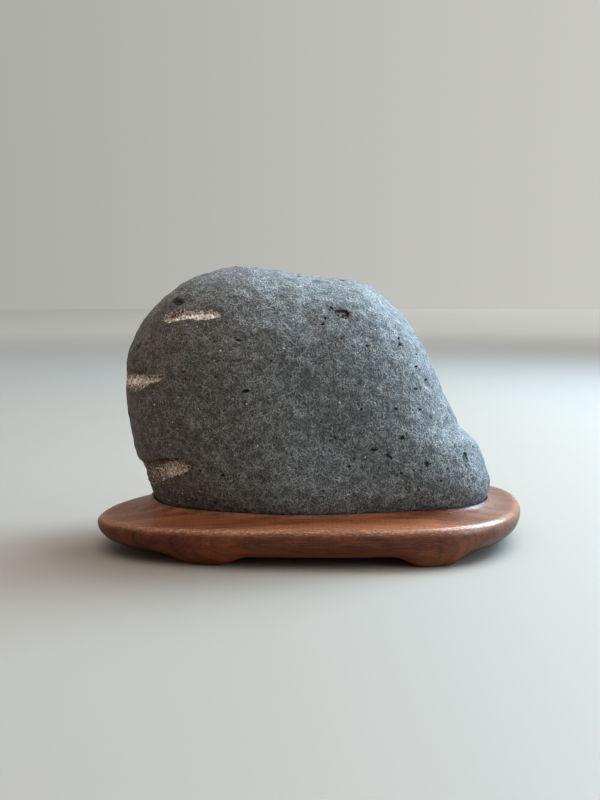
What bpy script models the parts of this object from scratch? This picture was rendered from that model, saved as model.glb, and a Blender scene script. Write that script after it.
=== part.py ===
import math

import bmesh
import bpy
import numpy as np

# Driving dimensions, in metres.  X runs along the stand, Y towards the back, Z up.
STONE_CENTRE = (-0.005, 0.00375, 0.064)   # point every stone radius is measured from
STONE_FRONT = 0.0515                      # half depth towards the front
STONE_BACK = 0.0460                       # half depth towards the back
DEPTH_POWER = 2.6                         # roundness of the stone from front to back
SIDE_POWER = 2.4                          # roundness of its sides and top
BASE_POWER = 5.6                          # how much squarer the base is than the sides
STONE_GRID = 28                           # cells along each side of the stone's cube grid

SEAT_GAP = 0.00060                        # clearance between stone and lip
FLOOR_GAP = 0.00100                       # clearance between stone and seat floor
SEAT_RINGS = 10                           # rings from the seat floor up to the lip
LIP_HEIGHT = 0.0196                       # top of the seat wall
LIP_RISE = 0.0014                         # extra lip height at the left rear
RIDGE_HEIGHT = 0.0168                     # top of the rounded rim
NOSE_DROP = 0.0022                        # how much lower the rim is at the left nose
WIDEST_HEIGHT = 0.0120                    # level of the stand's widest outline
UNDERSIDE = 0.0044                        # clear height under the stand
TUCK_SIDE = 0.0032                        # how far the long sides lean in below
TUCK_END = 0.0068                         # how far the two ends lean in below
SOLE_DEPTH = 0.0120                       # depth of a foot's sole, outline to centre

# The stone seen from the front, clockwise from its crown: (x, z).
STONE_OUTLINE = [
    (-0.0310, 0.1253), (-0.0165, 0.1234), (-0.0010, 0.1208), (0.0140, 0.1192),
    (0.0260, 0.1156), (0.0338, 0.1090), (0.0438, 0.0973), (0.0518, 0.0835),
    (0.0585, 0.0682), (0.0642, 0.0565), (0.0672, 0.0500), (0.0734, 0.0370),
    (0.0758, 0.0290), (0.0766, 0.0200), (0.0722, 0.0130),
    (0.0590, 0.0102), (0.0210, 0.0093), (-0.0190, 0.0093), (-0.0540, 0.0100),
    (-0.0680, 0.0138), (-0.0735, 0.0200), (-0.0757, 0.0260), (-0.0783, 0.0320),
    (-0.0812, 0.0380), (-0.0838, 0.0480), (-0.0860, 0.0620), (-0.0863, 0.0750),
    (-0.0842, 0.0890), (-0.0790, 0.0998), (-0.0696, 0.1106), (-0.0545, 0.1204),
    (-0.0430, 0.1239),
]

# The knob at the low right end: angles below level where it rises and where it dies
# away again (degrees), how far it stands out, and its spread towards front and back.
KNOB_START = (8.8, 14.2)
KNOB_END = (22.0, 33.0)
KNOB_HEIGHT = 0.0056
KNOB_SPREAD = 0.42

# Hollows in the stone's front: centre x, z, half width, half height, tilt, depth and
# how far back they run (y).
STONE_HOLLOWS = [
    (-0.0530, 0.1035, 0.0165, 0.0046, 0.03, 0.0022, -0.008),
    (-0.0755, 0.0750, 0.0120, 0.0056, 0.10, 0.0022, 0.008),
    (-0.0680, 0.0340, 0.0150, 0.0068, 0.20, 0.0038, 0.016),
    (0.0110, 0.1040, 0.0050, 0.0038, -0.10, 0.0014, -0.008),
]

# The stand's widest outline, seen from above, anticlockwise from its right end: (x, y).
STAND_OUTLINE = [
    (0.0977, 0.0185), (0.0955, 0.0328), (0.0876, 0.0455), (0.0720, 0.0540),
    (0.0450, 0.0590), (0.0120, 0.0600), (-0.0200, 0.0568), (-0.0475, 0.0495),
    (-0.0690, 0.0378), (-0.0842, 0.0230), (-0.0940, 0.0052), (-0.0972, -0.0145),
    (-0.0945, -0.0290), (-0.0850, -0.0405), (-0.0680, -0.0505), (-0.0400, -0.0575),
    (-0.0050, -0.0597), (0.0300, -0.0594), (0.0560, -0.0560), (0.0750, -0.0445),
    (0.0880, -0.0260), (0.0953, -0.0025),
]

# The four feet, as directions from the stand's middle in degrees: where a foot starts to
# leave the underside, where its sole starts and ends, and where it is back up again.
# Last, how much more upright its face is than the side beside it (0 leans just as far).
FEET = [
    (-144.5, -135.0, -126.0, -116.8, 0.10),
    (-60.5, -54.0, -43.8, -36.3, 0.55),
    (34.0, 40.0, 52.0, 58.0, 0.35),
    (125.5, 132.0, 144.0, 150.5, 0.20),
]


def clear_scene():
    for item in list(bpy.data.objects):
        bpy.data.objects.remove(item, do_unlink=True)


def material(name, colour, roughness):
    mat = bpy.data.materials.new(name)
    mat.use_nodes = True
    shader = mat.node_tree.nodes["Principled BSDF"]
    shader.inputs["Base Color"].default_value = (*colour, 1.0)
    shader.inputs["Roughness"].default_value = roughness
    shader.inputs["Metallic"].default_value = 0.0
    mat.diffuse_color = (*colour, 1.0)
    return mat


def build_object(name, points, faces, mat):
    mesh = bpy.data.meshes.new(name)
    mesh.from_pydata([tuple(p) for p in points], [], faces)
    work = bmesh.new()
    work.from_mesh(mesh)
    bmesh.ops.remove_doubles(work, verts=work.verts, dist=1e-7)
    bmesh.ops.recalc_face_normals(work, faces=work.faces)
    work.to_mesh(mesh)
    work.free()
    for face in mesh.polygons:
        face.use_smooth = True
    mesh.materials.append(mat)
    item = bpy.data.objects.new(name, mesh)
    bpy.context.scene.collection.objects.link(item)
    return item


def smooth_step(value, low, high):
    t = np.clip((value - low) / (high - low), 0.0, 1.0)
    return t * t * (3.0 - 2.0 * t)


# ---------------------------------------------------------------- the basalt stone

def polar_outline():
    """The front outline as angle and radius about the stone's centre."""
    rows = []
    for x, z in STONE_OUTLINE:
        dx = x - STONE_CENTRE[0]
        dz = z - STONE_CENTRE[2]
        rows.append((math.atan2(dz, dx) % (2.0 * math.pi), math.hypot(dx, dz)))
    rows.sort()
    angles = np.array([row[0] for row in rows])
    radii = np.array([row[1] for row in rows])
    return angles, radii


def periodic_curve(angle, angles, radii):
    """Smooth closed curve through the given polar points."""
    turn = 2.0 * math.pi
    knots = np.concatenate(([angles[-1] - turn], angles, [angles[0] + turn]))
    knots = np.concatenate(([angles[-2] - turn], knots, [angles[1] + turn]))
    values = np.concatenate((radii[-2:], radii, radii[:2]))
    angle = np.mod(angle, turn)
    k = np.searchsorted(knots, angle, side="right") - 1
    k = np.clip(k, 1, len(knots) - 3)
    h = knots[k + 1] - knots[k]
    slope = (values[k + 1] - values[k]) / h
    before = (values[k] - values[k - 1]) / (knots[k] - knots[k - 1])
    after = (values[k + 2] - values[k + 1]) / (knots[k + 2] - knots[k + 1])
    m0 = 0.5 * (before + slope)
    m1 = 0.5 * (slope + after)
    t = (angle - knots[k]) / h
    return ((1 + 2 * t) * (1 - t) ** 2 * values[k] + t * (1 - t) ** 2 * h * m0
            + t * t * (3 - 2 * t) * values[k + 1] + t * t * (t - 1) * h * m1)


OUTLINE_ANGLES, OUTLINE_RADII = polar_outline()


def knob(u):
    """How far the low right end stands out beyond the smooth outline."""
    below = np.degrees(np.arctan2(-u[:, 2], u[:, 0]))
    rise = smooth_step(below, *KNOB_START)
    fade = 1.0 - smooth_step(below, *KNOB_END)
    return KNOB_HEIGHT * rise * fade * np.exp(-(u[:, 1] / KNOB_SPREAD) ** 2)


def undulation(u):
    """Slow natural unevenness of the stone, as a share of its radius."""
    x, y, z = u[:, 0], u[:, 1], u[:, 2]
    away = smooth_step(z, -0.75, -0.35)
    waves = 0.010 * np.sin(4.1 * x + 2.0 * z + 0.6) * np.cos(3.3 * y - 1.7 * z)
    waves += 0.006 * np.sin(7.3 * x - 5.1 * y + 1.1) * np.sin(6.1 * z + 0.4)
    waves += 0.004 * np.cos(9.7 * y + 6.2 * z + 2.0 * x)
    return waves * np.abs(y) * away


def hollow_depth(points):
    """How far each surface point is worn inwards by the hollows on the front."""
    depth = np.zeros(len(points))
    for cx, cz, half_w, half_h, tilt, deep, back in STONE_HOLLOWS:
        front = smooth_step(back - points[:, 1], 0.0, 0.012)
        dx = points[:, 0] - cx
        dz = points[:, 2] - cz
        along = (dx * math.cos(tilt) + dz * math.sin(tilt)) / half_w
        across = (dz * math.cos(tilt) - dx * math.sin(tilt)) / half_h
        fall = np.clip(1.0 - along ** 2 - across ** 2, 0.0, 1.0)
        depth = np.maximum(depth, deep * fall * front)
    return depth


def stone_surface(u, hollows=True):
    """Surface points of the stone along unit directions u from its centre."""
    radius = periodic_curve(np.arctan2(u[:, 2], u[:, 0]), OUTLINE_ANGLES, OUTLINE_RADII)
    flat = np.hypot(u[:, 0], u[:, 2])
    down = np.clip(-u[:, 2] / np.maximum(flat, 1e-9), 0.0, 1.0)
    power = SIDE_POWER + BASE_POWER * down ** 6
    half = np.where(u[:, 1] < 0.0, STONE_FRONT, STONE_BACK)
    a = flat / radius
    b = np.abs(u[:, 1]) / half
    low = np.zeros(len(u))
    high = 1.0 / np.maximum(a, b)
    for _ in range(44):
        mid = 0.5 * (low + high)
        inside = (mid * a) ** power + (mid * b) ** DEPTH_POWER < 1.0
        low = np.where(inside, mid, low)
        high = np.where(inside, high, mid)
    reach = low * (1.0 + undulation(u)) + knob(u)
    points = np.array(STONE_CENTRE) + u * reach[:, None]
    if hollows:
        points = points - u * hollow_depth(points)[:, None]
    return points


def stretched(raw):
    """Unit directions spread evenly over a body of the stone's proportions."""
    u = raw * np.array([0.084, 0.048, 0.058])
    return u / np.linalg.norm(u, axis=1)[:, None]


def cube_grid(cells):
    """Points and quads of a cube's six gridded faces."""
    points = []
    faces = []
    for axis in range(3):
        for sign in (-1.0, 1.0):
            start = len(points)
            for i in range(cells + 1):
                for j in range(cells + 1):
                    p = [0.0, 0.0, 0.0]
                    p[axis] = sign
                    p[(axis + 1) % 3] = math.tan(math.pi / 4 * (2.0 * i / cells - 1.0))
                    p[(axis + 2) % 3] = math.tan(math.pi / 4 * (2.0 * j / cells - 1.0))
                    points.append(p)
            for i in range(cells):
                for j in range(cells):
                    a = start + i * (cells + 1) + j
                    b = a + cells + 1
                    faces.append((a, b, b + 1, a + 1))
    return np.array(points), faces


def make_stone():
    raw, faces = cube_grid(STONE_GRID)
    points = stone_surface(stretched(raw))
    mat = material("basalt", (0.100, 0.112, 0.125), 0.86)
    return build_object("basalt_stone", points, faces, mat)


# ---------------------------------------------------------------- the walnut stand

def closed_curve(controls, per_span):
    """Dense points of a smooth closed curve through the control points."""
    dense = []
    count = len(controls)
    for i in range(count):
        p0, p1, p2, p3 = (np.array(controls[(i + k - 1) % count]) for k in range(4))
        for s in range(per_span):
            t = s / per_span
            a = 2.0 * p1 + (p2 - p0) * t
            b = (2.0 * p0 - 5.0 * p1 + 4.0 * p2 - p3) * t * t
            c = (3.0 * p1 - p0 - 3.0 * p2 + p3) * t ** 3
            dense.append(0.5 * (a + b + c))
    return np.array(dense)


def stand_angles():
    """Directions of the stand's profiles, closer together over the feet."""
    angles = []
    for i, foot in enumerate(FEET):
        start, end = foot[0] - 1.0, foot[3] + 1.0
        angles += list(np.linspace(start, end, 14))
        following = FEET[(i + 1) % len(FEET)][0] - 1.0
        gap = (following - end) % 360.0
        steps = int(math.ceil(gap / 3.0))
        angles += list(np.linspace(end, end + gap, steps + 1)[1:-1])
    return np.radians(np.array(angles))


def outline_at(angles):
    """Outline points and inward normals of the stand in the given directions."""
    dense = closed_curve(STAND_OUTLINE, 24)
    dense = dense - 0.5 * (dense.max(axis=0) + dense.min(axis=0))
    turn = np.unwrap(np.arctan2(dense[:, 1], dense[:, 0]))
    order = np.argsort(np.mod(turn, 2.0 * math.pi))
    key = np.mod(turn, 2.0 * math.pi)[order]
    ring = dense[order]
    want = np.mod(angles, 2.0 * math.pi)
    x = np.interp(want, key, ring[:, 0], period=2.0 * math.pi)
    y = np.interp(want, key, ring[:, 1], period=2.0 * math.pi)
    points = np.stack([x, y], axis=1)
    along = np.roll(points, -1, axis=0) - np.roll(points, 1, axis=0)
    inward = np.stack([-along[:, 1], along[:, 0]], axis=1)
    return points, inward / np.linalg.norm(inward, axis=1)[:, None]


def foot_weight(angles):
    """One over a sole and zero between the feet, and how upright the face is there."""
    weight = np.zeros(len(angles))
    upright = np.zeros(len(angles))
    degrees = (np.degrees(angles) + 180.0) % 360.0 - 180.0
    for start, sole_start, sole_end, end, steep in FEET:
        rise = smooth_step(degrees, start, sole_start)
        fall = 1.0 - smooth_step(degrees, sole_end, end)
        weight = np.maximum(weight, rise * fall)
        upright = np.maximum(upright, rise * fall * steep)
    return weight, upright


def seat_direction(angles, tilt):
    raw = np.stack([np.sin(tilt) * np.cos(angles), np.sin(tilt) * np.sin(angles),
                    -np.cos(tilt)], axis=1)
    return stretched(raw)


def seat_points(angles, tilt, gap=SEAT_GAP):
    """Points one clearance outside the stone, facing it from below."""
    step = 0.002
    here = stone_surface(seat_direction(angles, tilt), hollows=False)
    up = stone_surface(seat_direction(angles, tilt + step), hollows=False)
    side = stone_surface(seat_direction(angles + step, tilt), hollows=False)
    normal = np.cross(side - here, up - here)
    normal = normal / np.linalg.norm(normal, axis=1)[:, None]
    outward = here - np.array(STONE_CENTRE)
    flip = np.where(np.sum(normal * outward, axis=1) < 0.0, -1.0, 1.0)
    return here + normal * flip[:, None] * gap


def lip_height(angles):
    rise = np.clip(np.cos(angles - math.radians(168.0)), 0.0, 1.0) ** 3
    return LIP_HEIGHT + LIP_RISE * rise


def seat_rings(angles):
    """Rings of the seat from just off its middle up to the lip."""
    target = lip_height(angles)
    low = np.full(len(angles), 0.35)
    high = np.full(len(angles), 1.75)
    for _ in range(40):
        mid = 0.5 * (low + high)
        below = seat_points(angles, mid)[:, 2] < target
        low = np.where(below, mid, low)
        high = np.where(below, high, mid)
    rings = []
    for k in range(1, SEAT_RINGS + 1):
        share = (k / SEAT_RINGS) ** 0.8
        gap = FLOOR_GAP + (SEAT_GAP - FLOOR_GAP) * share ** 4
        rings.append(seat_points(angles, low * share, gap))
    return rings


def ridge_height(angles):
    nose = np.clip(np.cos(angles - math.radians(188.0)), 0.0, 1.0) ** 4
    return RIDGE_HEIGHT - NOSE_DROP * nose


def top_rings(angles, lip, outline, inward):
    """Rings of the top, sweeping down from the lip to the rounded rim."""
    ridge = ridge_height(angles)
    edge = outline + inward * 0.0046
    radial = edge - lip[:, :2]
    span = np.linalg.norm(radial, axis=1)[:, None]
    rings = []
    shoulder = lip.copy()
    shoulder[:, :2] += radial / span * 0.0007
    shoulder[:, 2] += 0.00022
    rings.append(shoulder)
    for share, fall in ((0.16, 0.34), (0.40, 0.66), (0.70, 0.88), (1.0, 1.0)):
        plan = lip[:, :2] + radial * share
        level = lip[:, 2] + (ridge - lip[:, 2]) * fall
        rings.append(np.column_stack([plan, level]))
    return rings


def rim_rings(angles, outline, inward):
    """Rings of the rounded rim, from the ridge out to the widest line."""
    ridge = ridge_height(angles)
    rings = []
    for inset, share in ((0.0024, 0.90), (0.0009, 0.66), (0.0002, 0.36), (0.0, 0.0)):
        plan = outline + inward * inset
        level = WIDEST_HEIGHT + (ridge - WIDEST_HEIGHT) * share
        rings.append(np.column_stack([plan, level]))
    return rings


def under_rings(angles, outline, inward):
    """Rings from the widest line down the side, over the feet and under the middle."""
    foot, upright = foot_weight(angles)
    ends = np.abs(np.cos(angles)) ** 2.5
    tuck = TUCK_SIDE + (TUCK_END - TUCK_SIDE) * ends
    u = UNDERSIDE
    # inset as a share of the tuck plus a fixed part, height between feet, on a foot
    rows = (
        (0.10, 0.0000, 0.0093, 0.0090),
        (0.40, 0.0000, 0.0068, 0.0060),
        (0.76, 0.0002, 0.0050, 0.0029),
        (1.00, 0.0010, u, 0.0008),
        (1.00, 0.0025, u, 0.0),
        (1.00, 0.0080, u, 0.0),
        (1.00, 0.0022 + SOLE_DEPTH, u, 0.0),
        (1.00, 0.0030 + SOLE_DEPTH, u, 0.0007),
        (1.00, 0.0075 + SOLE_DEPTH, u, u),
    )
    rings = []
    for share, fixed, between, sole in rows:
        inset = tuck * share * (1.0 - upright) + fixed
        plan = outline + inward * inset[:, None]
        level = between + (sole - between) * foot
        rings.append(np.column_stack([plan, level]))
    middle = rings[-1].copy()
    middle[:, :2] *= 0.45
    rings.append(middle)
    return rings


def make_stand():
    angles = stand_angles()
    outline, inward = outline_at(angles)
    seat = seat_rings(angles)
    rings = seat + top_rings(angles, seat[-1], outline, inward)
    rings += rim_rings(angles, outline, inward) + under_rings(angles, outline, inward)
    count = len(angles)
    floor = stone_surface(np.array([[0.0, 0.0, -1.0]]), hollows=False)[0]
    floor[2] -= FLOOR_GAP
    points = [p for ring in rings for p in ring]
    points.append(floor)
    points.append(np.array([0.0, 0.0, UNDERSIDE]))
    top, bottom = len(points) - 2, len(points) - 1
    faces = []
    for k in range(len(rings) - 1):
        for i in range(count):
            j = (i + 1) % count
            faces.append((k * count + i, (k + 1) * count + i,
                          (k + 1) * count + j, k * count + j))
    last = (len(rings) - 1) * count
    for i in range(count):
        j = (i + 1) % count
        faces.append((top, i, j))
        faces.append((bottom, last + j, last + i))
    mat = material("walnut", (0.165, 0.070, 0.040), 0.42)
    return build_object("walnut_stand", points, faces, mat)


clear_scene()
make_stone()
make_stand()
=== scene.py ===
"""The looks of the basalt stone on its walnut stand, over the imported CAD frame."""

import itertools
import math

import bmesh
import bpy
import numpy as np
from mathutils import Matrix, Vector


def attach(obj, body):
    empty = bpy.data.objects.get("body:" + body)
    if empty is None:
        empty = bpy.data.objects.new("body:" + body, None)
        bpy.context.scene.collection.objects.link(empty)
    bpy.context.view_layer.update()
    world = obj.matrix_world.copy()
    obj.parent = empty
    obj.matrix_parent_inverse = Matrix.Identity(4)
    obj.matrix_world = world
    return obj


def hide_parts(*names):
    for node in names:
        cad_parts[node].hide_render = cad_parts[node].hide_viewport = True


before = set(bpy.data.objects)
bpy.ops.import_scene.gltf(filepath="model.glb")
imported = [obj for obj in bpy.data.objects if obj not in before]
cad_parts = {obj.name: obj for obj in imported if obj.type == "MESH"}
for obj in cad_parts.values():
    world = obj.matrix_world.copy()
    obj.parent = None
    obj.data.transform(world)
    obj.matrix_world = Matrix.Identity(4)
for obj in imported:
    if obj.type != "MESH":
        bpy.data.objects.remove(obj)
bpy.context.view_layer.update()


MM = 0.001

# ------------ dimensions
# The stone, as in the CAD model (metres); the powers set how round or square it is.
STONE_CENTRE = np.array([-0.005, 0.00375, 0.064])
STONE_FRONT = 0.0515
STONE_BACK = 0.046
DEPTH_POWER = 2.6
SIDE_POWER = 2.4
BASE_POWER = 5.6

# The stand, as in the CAD model (metres).
SEAT_GAP = 0.0006
FLOOR_GAP = 0.001
SEAT_RINGS = 10
LIP_HEIGHT = 0.0196
LIP_RISE = 0.0014
RIDGE_HEIGHT = 0.0168
NOSE_DROP = 0.0022
WIDEST_HEIGHT = 0.012
UNDERSIDE = 0.0044
TUCK_SIDE = 0.0032
TUCK_END = 0.0068
SOLE_DEPTH = 0.012
FOOT_EASE = 1.6

# Mesh fineness: the stone's cube grid and cuts near its details, the stand's steps.
STONE_GRID = 98
FINE_CUTS = 3
STAND_STEPS = 420
RING_STEPS = 4

# The stone's outline seen from the front, anticlockwise from its top: x, z.

STONE_OUTLINE = [
    (-0.031, 0.1253), (-0.0165, 0.1234), (-0.001, 0.1208), (0.014, 0.1192),
    (0.026, 0.1156), (0.0338, 0.109), (0.0438, 0.0973), (0.0518, 0.0835),
    (0.0585, 0.0682), (0.0642, 0.0565), (0.0672, 0.05), (0.0734, 0.037),
    (0.0758, 0.029), (0.0766, 0.02), (0.0722, 0.013),
    (0.059, 0.0102), (0.021, 0.0093), (-0.019, 0.0093), (-0.054, 0.01),
    (-0.068, 0.0138), (-0.0735, 0.02), (-0.0757, 0.026), (-0.0783, 0.032),
    (-0.0812, 0.038), (-0.0838, 0.048), (-0.086, 0.062), (-0.0863, 0.075),
    (-0.0842, 0.089), (-0.079, 0.0998), (-0.0696, 0.1106), (-0.0545, 0.1204),
    (-0.043, 0.1239),
]
# The knob: degrees below the level where it rises and fades, height, spread in depth.
KNOB_START = (8.8, 14.2)
KNOB_END = (22.0, 33.0)
KNOB_HEIGHT = 0.0056
KNOB_SPREAD = 0.42

# The stand's widest outline seen from above: x, y.
STAND_OUTLINE = [
    (0.0977, 0.0185), (0.0955, 0.0328), (0.0876, 0.0455), (0.072, 0.054),
    (0.045, 0.059), (0.012, 0.06), (-0.02, 0.0568), (-0.0475, 0.0495),
    (-0.069, 0.0378), (-0.0842, 0.023), (-0.094, 0.0052), (-0.0972, -0.0145),
    (-0.0945, -0.029), (-0.085, -0.0405), (-0.068, -0.0505), (-0.04, -0.0575),
    (-0.005, -0.0597), (0.03, -0.0594), (0.056, -0.056), (0.075, -0.0445),
    (0.088, -0.026), (0.0953, -0.0025),
]
# Each foot: degrees where it starts, its sole starts and ends, and it ends, and how
# upright its face is.
FEET = [
    (-144.5, -135.0, -126.0, -116.8, 0.1),
    (-60.5, -54.0, -43.8, -36.3, 0.55),
    (34.0, 40.0, 52.0, 58.0, 0.35),
    (125.5, 132.0, 144.0, 150.5, 0.2),
]

# Crystal-lined chips in the stone's front, in millimetres.  Each has its outline seen
# from the front (x, z), its depth, how far back it runs (y), then the middle, half
# width, half height and tilt of the line along it, where its palest crystals lie, and
# from where along it the upper edge is in shade.
CHIPS = [
    ([(-67.2, 102.3), (-65.8, 104.1), (-62.1, 105.3), (-58.3, 106.1), (-56.6, 106.7),
      (-54.3, 105.9), (-50.7, 105.5), (-48.0, 106.4), (-45.5, 106.5), (-43.8, 105.6),
      (-41.6, 105.6), (-40.1, 104.6), (-40.3, 103.3), (-43.3, 102.5), (-46.5, 101.6),
      (-50.7, 102.0), (-55.3, 101.8), (-57.4, 101.7), (-60.6, 101.3), (-62.6, 100.5),
      (-65.0, 100.9)],
     1.9, -8.0, (-53.6, 103.6, 13.6, 2.6, 0.08), (0.3, 1.05, -0.1, 1.2, 1.15), 0.2),
    ([(-90.0, 78.8), (-81.5, 79.7), (-79.2, 79.6), (-76.3, 79.1), (-73.4, 78.5),
      (-70.2, 78.2), (-67.4, 78.6), (-64.8, 78.9), (-65.5, 76.7), (-67.5, 75.1),
      (-70.4, 74.5), (-73.2, 73.0), (-75.2, 71.4), (-77.4, 70.1), (-79.6, 70.2),
      (-82.7, 70.9), (-90.0, 72.6)],
     2.1, 6.0, (-75.0, 75.6, 11.0, 4.2, 0.12), (-0.1, 1.1, -0.06, 0.62, 0.8), -1.5),
    ([(-90.0, 38.4), (-74.1, 39.6), (-69.9, 40.7), (-66.2, 41.6), (-64.1, 42.2),
      (-59.8, 42.9), (-57.7, 41.9), (-55.6, 40.7), (-53.0, 39.7), (-54.1, 37.8),
      (-56.5, 36.2), (-59.4, 34.5), (-62.2, 34.1), (-65.3, 32.5), (-68.4, 30.6),
      (-71.5, 28.3), (-90.0, 25.0)],
     2.7, 14.0, (-64.5, 36.6, 11.5, 4.6, 0.22), (0.12, 0.95, -0.08, 0.75, 0.62), -1.5),
]
# Dark hollows with outlines of their own: outline, depth, and a field limit; crumbs
# lie on the floor of those whose limit is over one.
DARK_HOLLOWS = [
    ([(7.3, 105.9), (7.7, 104.6), (8.9, 103.3), (10.7, 102.1), (13.1, 102.4),
      (14.1, 103.8), (13.9, 105.2), (12.9, 106.0), (10.9, 106.3), (9.1, 106.1)],
     1.2, 2.0),
    ([(-62.8, 109.4), (-62.0, 110.6), (-58.7, 111.1), (-56.6, 109.6), (-58.7, 107.8),
      (-61.0, 107.8)], 0.7, 0.8),
]
# Slits and larger vesicles: x, z, half width, half height, tilt, depth.
PITS = [
    (6.3, 106.6, 1.2, 0.34, -0.75, 0.5), (65.4, 41.5, 1.4, 2.2, 0.1, 1.1),
    (-29.4, 72.6, 1.7, 0.65, 0.15, 1.0), (-32.8, 93.5, 1.5, 0.55, -0.2, 0.9),
    (23.9, 47.6, 1.5, 0.65, 0.1, 0.9), (29.6, 45.3, 1.0, 0.8, -0.6, 0.9),
    (47.2, 40.6, 1.1, 1.2, 0.3, 0.9), (35.8, 52.4, 1.0, 0.9, 0.2, 0.8),
    (-39.8, 36.3, 0.9, 0.7, 0.4, 0.9), (-43.3, 23.9, 0.9, 0.7, 0.2, 0.8),
]
# Small vesicles on the front: x, z.
VESICLES = [
    (-42.3, 78.2), (-36.6, 59.9), (-26.9, 62.2), (-19.0, 85.0), (-34.4, 84.9),
    (-54.0, 47.8), (-49.6, 29.1), (-51.7, 24.2), (-49.3, 38.0), (56.8, 37.6),
    (53.7, 32.7), (35.9, 37.2), (38.2, 33.1), (44.1, 63.5), (34.9, 93.5), (35.3, 91.0),
    (43.8, 86.7), (42.9, 81.4), (47.6, 75.6), (42.1, 72.3), (33.3, 64.5), (71.6, 34.5),
    (69.2, 30.7), (73.8, 27.9), (69.6, 45.0), (31.1, 44.2), (18.4, 65.0), (21.1, 90.9),
    (10.1, 93.9), (3.5, 102.6), (2.6, 100.1), (13.5, 40.7), (15.6, 44.0), (5.5, 51.7),
    (7.6, 52.9), (50.2, 23.6), (43.1, 19.4), (-54.8, 77.1), (-56.1, 80.0),
]
# Pale crystals bedded in the front: x, z.
SPECKS = [
    (-39.6, 56.5), (-34.6, 45.1), (-57.8, 26.9), (-64.3, 22.5), (-59.1, 55.7),
    (-39.9, 89.0), (-35.6, 88.6), (-13.6, 89.9), (58.7, 36.6), (20.6, 44.4),
    (13.2, 28.6), (30.2, 48.9), (-24.5, 49.7), (-9.9, 101.8), (-29.0, 67.2),
    (-11.2, 39.7), (-30.0, 36.3), (-55.2, 24.4), (9.6, 67.6),
]
SCRATCH_PLACE = (-13.0, 0.0, 100.0)
SCRATCH_TURN = math.radians(-45.0)
CHIP_FADE = (-85.5, -71.0)      # x over which chips grow from the left outline, mm
CHIP_EDGE = 4.6                 # how much a chip narrows towards its back end, mm
CRYSTALS_PER_MM2 = 1.3
LOOSE_CRYSTALS = 230
ROUND_PIT_TRIES = 150
VESICLE_SEED = 5
ROUND_PIT_SEED = 17
CRYSTAL_SEED = 41


# ------------ small tools
def smooth_step(value, low, high):
    t = np.clip((value - low) / (high - low), 0.0, 1.0)
    return t * t * (3.0 - 2.0 * t)


def lattice_hash(cells, seed):
    """Repeatable numbers in 0..1 for whole-number lattice cells."""
    h = cells.astype(np.int64) @ np.array([374761393, 668265263, 2147483647])
    h = (h + seed * 1274126177) & 0xFFFFFFFF
    h = ((h ^ (h >> 13)) * 1274126177) & 0xFFFFFFFF
    h = ((h ^ (h >> 16)) * 2246822519) & 0xFFFFFFFF
    return ((h ^ (h >> 15)) & 0xFFFFFF) / float(0xFFFFFF)


def value_noise(p, seed):
    """Smooth noise in -1..1 over points p, one cell per unit."""
    cell = np.floor(p)
    f = p - cell
    f = f * f * f * (f * (f * 6.0 - 15.0) + 10.0)
    total = np.zeros(len(p))
    for corner in itertools.product((0, 1), repeat=3):
        wx, wy, wz = np.where(corner, f, 1.0 - f).T
        total += wx * wy * wz * (2.0 * lattice_hash(cell + corner, seed) - 1.0)
    return total


def cell_noise(p, seed):
    """Distance to the nearest scattered point, with one point per unit cell."""
    cell = np.floor(p)
    first = np.full(len(p), 9.0)
    for step in itertools.product((-1, 0, 1), repeat=3):
        c = cell + step
        j = np.stack([lattice_hash(c, seed + k) for k in (0, 1, 2)], axis=1)
        first = np.minimum(first, np.linalg.norm(c + j - p, axis=1))
    return first


def unit(vectors):
    return vectors / np.linalg.norm(vectors, axis=1)[:, None]


def outward(points):
    """Unit directions from the stone's centre."""
    return unit(points - STONE_CENTRE)


def mesh_object(name, points, faces, mat, **attributes):
    """A smooth mesh piece with a number for each point under each attribute's name."""
    mesh = bpy.data.meshes.new(name)
    mesh.from_pydata(points.tolist(), [], faces)
    mesh.polygons.foreach_set("use_smooth", [True] * len(mesh.polygons))
    mesh.materials.append(mat)
    mesh.update()
    for key, values in attributes.items():
        made = mesh.attributes.new(key, "FLOAT", "POINT")
        made.data.foreach_set("value", np.asarray(values, dtype=np.float32))
    item = bpy.data.objects.new(name, mesh)
    bpy.context.scene.collection.objects.link(item)
    return item


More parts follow.
